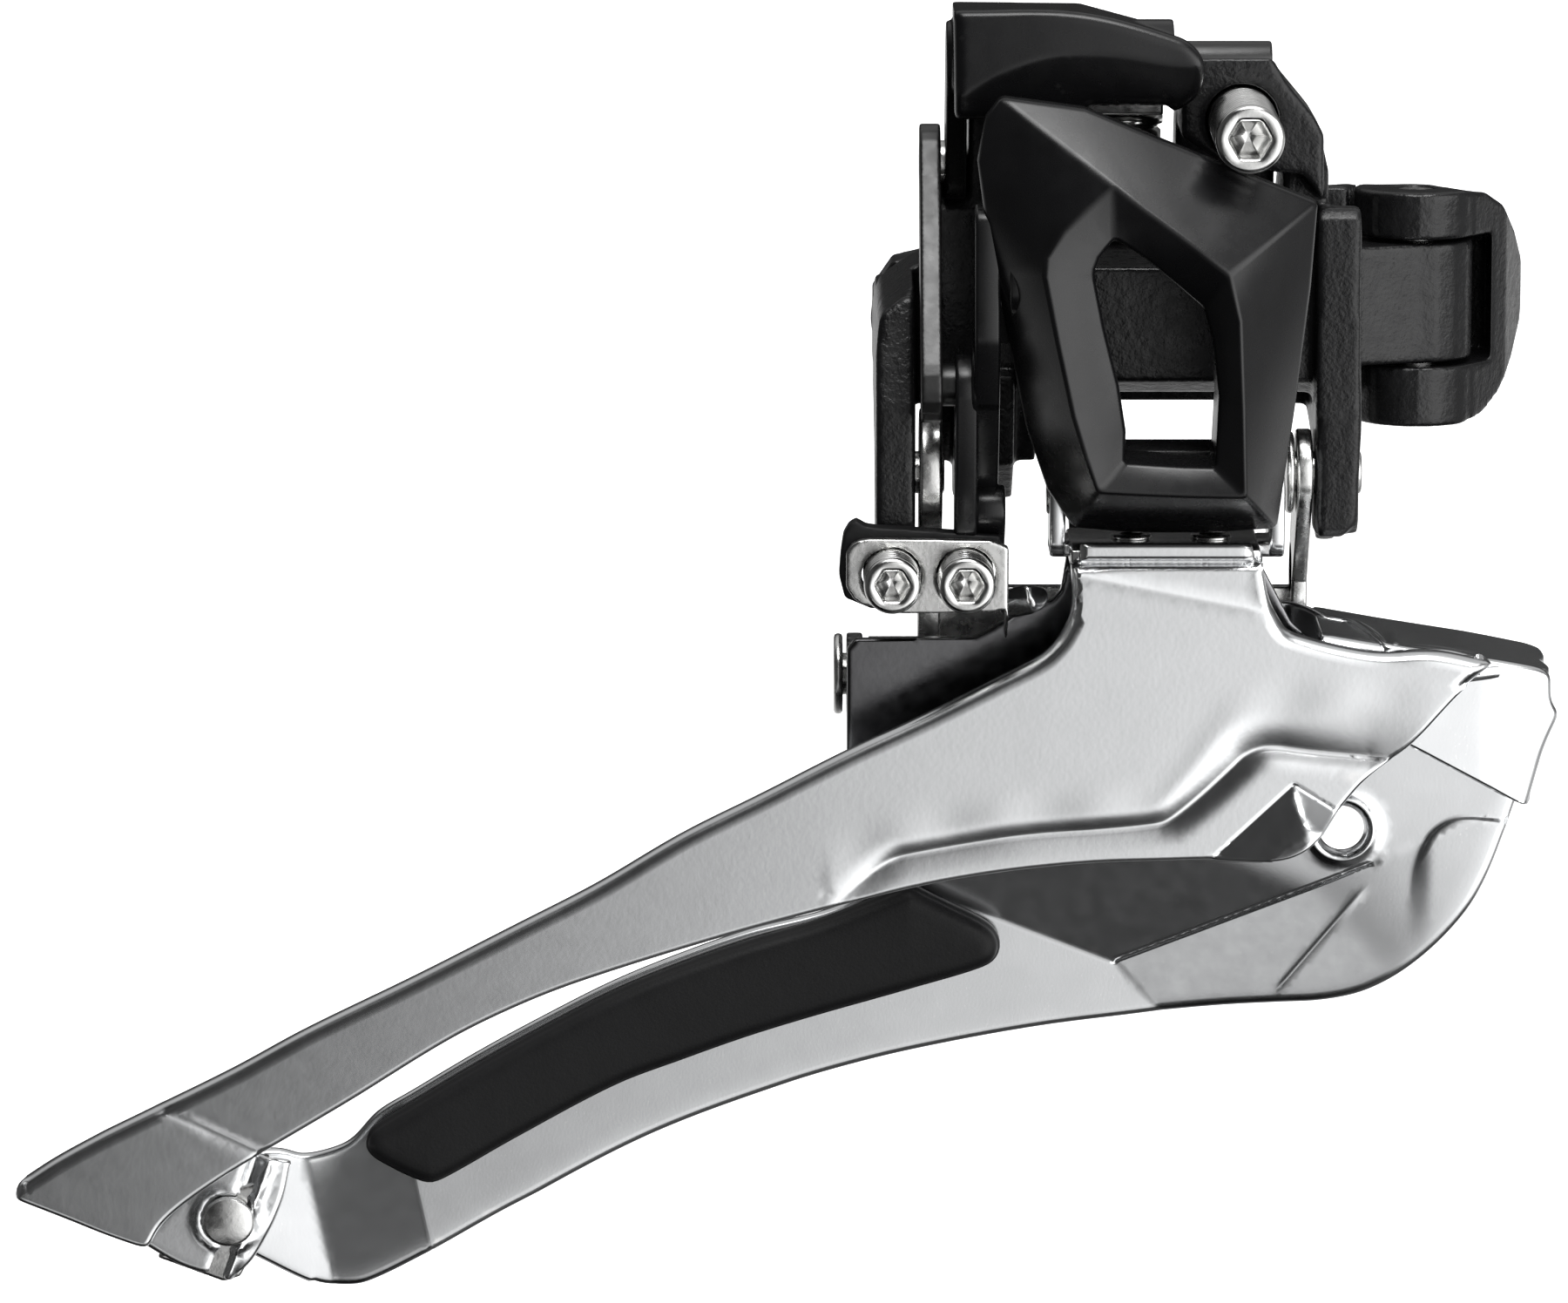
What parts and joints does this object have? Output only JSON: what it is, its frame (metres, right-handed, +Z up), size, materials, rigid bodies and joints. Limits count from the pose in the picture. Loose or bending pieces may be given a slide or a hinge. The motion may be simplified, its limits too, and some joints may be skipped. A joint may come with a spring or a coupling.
{
  "type": "bicycle front derailleur",
  "caption": "Band-clamp front derailleur: a sprung linkage on a hinged seat-tube clamp swings a two-plate chain cage, with cable arm, toggle link and limit screws.",
  "frame": {"origin": "on the seat-tube axis at half the height of the clamp band", "axes": "+X forward along the bicycle, +Y inboard towards the left side of the bicycle, +Z up along the seat tube"},
  "size_m": [0.1098, 0.0707, 0.0939],
  "materials": {
    "cast_black": "black coated casting with a fine leathery grain",
    "satin_black": "smooth satin black coating",
    "black_steel": "black coated pressed steel",
    "satin_chrome": "satin chrome plate with fine orange peel at the bends",
    "steel": "plain zinc-plated steel with sheared edges",
    "bolt_steel": "bright plated screw steel",
    "resin": "matt black moulded resin"
  },
  "bodies": {
    "base": {"base_bracket": "cast_black", "clamp_hinge_pin": "steel", "outer_link_pin_rear": "steel", "outer_link_pin_front": "steel", "inner_link_pin_rear": "steel", "inner_link_pin_front": "steel", "cable_arm_pin": "steel", "return_spring": "steel"},
    "clamp": {"clamp_band": "cast_black", "clamp_bolt_washer": "steel"},
    "clamp_bolt": {"clamp_bolt": "bolt_steel"},
    "outer_link": {"outer_link": "satin_black", "toggle_pin_lower": "steel"},
    "inner_link": {"inner_link": "steel"},
    "cage": {"outer_cage_plate": "satin_chrome", "inner_cage_plate": "satin_chrome", "chain_skid_pad": "resin", "link_bracket": "satin_chrome", "bracket_rivet_rear": "steel", "bracket_rivet_front": "steel", "cage_pin_outer": "steel", "cage_pin_inner": "steel", "limit_screw_plate": "steel", "limit_screw_insert": "resin", "cage_tail_spacer": "steel", "cage_tail_rivet": "steel"},
    "low_limit_screw": {"low_limit_screw": "bolt_steel"},
    "high_limit_screw": {"high_limit_screw": "bolt_steel"},
    "cable_arm": {"cable_arm": "satin_black", "cable_clamp_plate": "bolt_steel", "toggle_pin_upper": "steel"},
    "cable_fixing_bolt": {"cable_fixing_bolt": "bolt_steel"},
    "toggle_link": {"toggle_link": "black_steel"},
    "cable_adjusting_bolt": {"cable_adjusting_bolt": "bolt_steel"}
  },
  "joints": [
    {"name": "shift_swing", "type": "hinge", "parent": "base", "child": "outer_link", "pos_m": [-0.007, -0.046, 0.0054], "axis": [-1, 0, 0], "range_deg": [0, 34], "stiffness_Nm_per_rad": 0.15, "springref_deg": -68.75},
    {"name": "inner_link_pivot", "type": "hinge", "parent": "base", "child": "inner_link", "pos_m": [-0.007, -0.036, -0.00932], "axis": [-1, 0, 0], "range_deg": [0, 34]},
    {"name": "cage_pivot", "type": "hinge", "parent": "outer_link", "child": "cage", "pos_m": [-0.005, -0.04, -0.01016], "axis": [-1, 0, 0], "range_deg": [-34, 0]},
    {"name": "cable_arm_pivot", "type": "hinge", "parent": "base", "child": "cable_arm", "pos_m": [-0.01, -0.036, 0.0199], "axis": [-1, 0, 0], "range_deg": [0, 34], "deforming": ["return_spring"]},
    {"name": "toggle_pivot", "type": "hinge", "parent": "cable_arm", "child": "toggle_link", "pos_m": [-0.0215, -0.0325, 0.0124], "axis": [-1, 0, 0], "range_deg": [-34, 0]},
    {"name": "clamp_hinge", "type": "hinge", "parent": "base", "child": "clamp", "pos_m": [0.014, -0.0155, 0], "axis": [0, 0, -1], "range_deg": [0, 70]},
    {"name": "clamp_bolt_turn", "type": "hinge", "parent": "clamp", "child": "clamp_bolt", "pos_m": [-0.0214, 0, -0.0033], "axis": [0, 1, 0], "continuous": true},
    {"name": "low_limit_turn", "type": "hinge", "parent": "cage", "child": "low_limit_screw", "pos_m": [-0.0244, -0.044, -0.0156], "axis": [0, 1, 0], "continuous": true},
    {"name": "high_limit_turn", "type": "hinge", "parent": "cage", "child": "high_limit_screw", "pos_m": [-0.0192, -0.044, -0.0156], "axis": [0, 1, 0], "continuous": true},
    {"name": "cable_bolt_turn", "type": "hinge", "parent": "cable_arm", "child": "cable_fixing_bolt", "pos_m": [-0.0077, -0.0262, 0.016], "axis": [0, 0, 1], "continuous": true},
    {"name": "adjusting_bolt_turn", "type": "hinge", "parent": "base", "child": "cable_adjusting_bolt", "pos_m": [0.00015, -0.039, 0.016], "axis": [0, 1, 0], "continuous": true}
  ],
  "couplings": [
    {"joint": "inner_link_pivot", "follows": "shift_swing", "ratio": 1},
    {"joint": "cage_pivot", "follows": "shift_swing", "ratio": -1},
    {"joint": "cable_arm_pivot", "follows": "shift_swing", "ratio": 1},
    {"joint": "toggle_pivot", "follows": "shift_swing", "ratio": -1}
  ]
}
